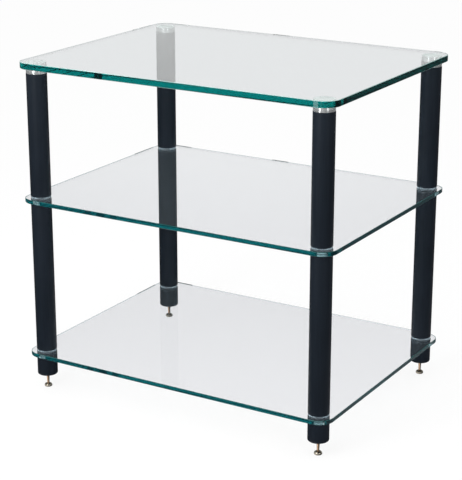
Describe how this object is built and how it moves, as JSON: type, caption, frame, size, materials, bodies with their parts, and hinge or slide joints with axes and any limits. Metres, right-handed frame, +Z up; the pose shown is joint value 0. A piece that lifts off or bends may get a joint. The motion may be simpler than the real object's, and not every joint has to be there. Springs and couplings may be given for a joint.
{
  "type": "audio equipment rack",
  "caption": "Open rack for audio equipment: clear glass shelves clamped between segmented round posts, standing on threaded levelling spikes with floor pads",
  "frame": {"origin": "On the floor, below the middle of the shelves", "axes": "+X to the right along the wide front, +Y from the front to the back, +Z up"},
  "size_m": [0.64, 0.48, 0.629],
  "materials": {
    "glass": "clear, with ground green edges",
    "post": "matte blue-black",
    "disc": "turned and polished",
    "washer": "pale, slightly translucent",
    "stud": "plain thread",
    "spike": "turned and polished",
    "pad": "darkened and polished"
  },
  "bodies": {
    "rack": {"top_shelf": "glass", "middle_shelf": "glass", "lower_shelf": "glass", "foot_post_front_left": "post", "foot_post_front_right": "post", "foot_post_back_left": "post", "foot_post_back_right": "post", "lower_stud_front_left": "stud", "lower_stud_front_right": "stud", "lower_stud_back_left": "stud", "lower_stud_back_right": "stud", "lower_washer_front_left": "washer", "lower_washer_front_right": "washer", "lower_washer_back_left": "washer", "lower_washer_back_right": "washer", "lower_post_front_left": "post", "lower_post_front_right": "post", "lower_post_back_left": "post", "lower_post_back_right": "post", "middle_stud_front_left": "stud", "middle_stud_front_right": "stud", "middle_stud_back_left": "stud", "middle_stud_back_right": "stud", "middle_washer_front_left": "washer", "middle_washer_front_right": "washer", "middle_washer_back_left": "washer", "middle_washer_back_right": "washer", "upper_post_front_left": "post", "upper_post_front_right": "post", "upper_post_back_left": "post", "upper_post_back_right": "post", "top_stud_front_left": "stud", "top_stud_front_right": "stud", "top_stud_back_left": "stud", "top_stud_back_right": "stud", "top_disc_front_left": "disc", "top_disc_front_right": "disc", "top_disc_back_left": "disc", "top_disc_back_right": "disc"},
    "pad_front_left": {"spike_pad_front_left": "pad"},
    "spike_front_left": {"levelling_spike_front_left": "spike"},
    "pad_front_right": {"spike_pad_front_right": "pad"},
    "spike_front_right": {"levelling_spike_front_right": "spike"},
    "pad_back_left": {"spike_pad_back_left": "pad"},
    "spike_back_left": {"levelling_spike_back_left": "spike"},
    "pad_back_right": {"spike_pad_back_right": "pad"},
    "spike_back_right": {"levelling_spike_back_right": "spike"}
  },
  "joints": [
    {"name": "foot_slide_front_left", "type": "slide", "parent": "rack", "child": "pad_front_left", "axis": [0, 0, -1], "range_m": [-0.01, 0.008]},
    {"name": "spike_turn_front_left", "type": "hinge", "parent": "pad_front_left", "child": "spike_front_left", "pos_m": [-0.291, -0.211, 0.035], "axis": [0, 0, -1], "range_deg": [-3600, 2880]},
    {"name": "foot_slide_front_right", "type": "slide", "parent": "rack", "child": "pad_front_right", "axis": [0, 0, -1], "range_m": [-0.01, 0.008]},
    {"name": "spike_turn_front_right", "type": "hinge", "parent": "pad_front_right", "child": "spike_front_right", "pos_m": [0.291, -0.211, 0.035], "axis": [0, 0, -1], "range_deg": [-3600, 2880]},
    {"name": "foot_slide_back_left", "type": "slide", "parent": "rack", "child": "pad_back_left", "axis": [0, 0, -1], "range_m": [-0.01, 0.008]},
    {"name": "spike_turn_back_left", "type": "hinge", "parent": "pad_back_left", "child": "spike_back_left", "pos_m": [-0.291, 0.211, 0.035], "axis": [0, 0, -1], "range_deg": [-3600, 2880]},
    {"name": "foot_slide_back_right", "type": "slide", "parent": "rack", "child": "pad_back_right", "axis": [0, 0, -1], "range_m": [-0.01, 0.008]},
    {"name": "spike_turn_back_right", "type": "hinge", "parent": "pad_back_right", "child": "spike_back_right", "pos_m": [0.291, 0.211, 0.035], "axis": [0, 0, -1], "range_deg": [-3600, 2880]}
  ],
  "couplings": [
    {"joint": "spike_turn_front_left", "follows": "foot_slide_front_left", "rad_per_m": 6283.2},
    {"joint": "spike_turn_front_right", "follows": "foot_slide_front_right", "rad_per_m": 6283.2},
    {"joint": "spike_turn_back_left", "follows": "foot_slide_back_left", "rad_per_m": 6283.2},
    {"joint": "spike_turn_back_right", "follows": "foot_slide_back_right", "rad_per_m": 6283.2}
  ]
}
